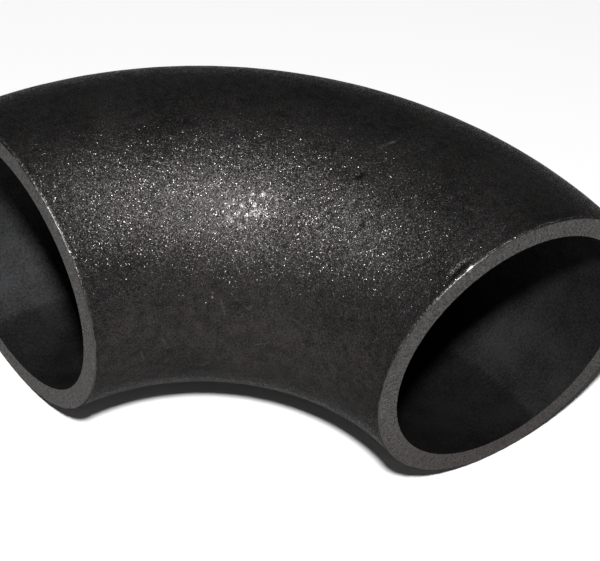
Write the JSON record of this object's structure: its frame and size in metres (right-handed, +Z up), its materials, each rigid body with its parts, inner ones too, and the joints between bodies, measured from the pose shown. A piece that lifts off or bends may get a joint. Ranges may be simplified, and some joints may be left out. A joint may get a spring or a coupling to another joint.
{
  "type": "butt weld elbow",
  "caption": "Quarter-turn long radius pipe elbow in dark shot-blasted steel, an open curved tube with square-sawn ends for butt welding.",
  "frame": {"origin": "on the surface the elbow rests on, under the middle of its outline", "axes": "+Z up, square to the level plane that the bend lies in; -Y out of the first end (end_a) along its bore; -X out of the second end (end_b) along its bore"},
  "size_m": [0.0687, 0.0687, 0.0424],
  "materials": {
    "blasted_steel": "matte"
  },
  "bodies": {
    "root": {"elbow": "blasted_steel"}
  },
  "joints": []
}
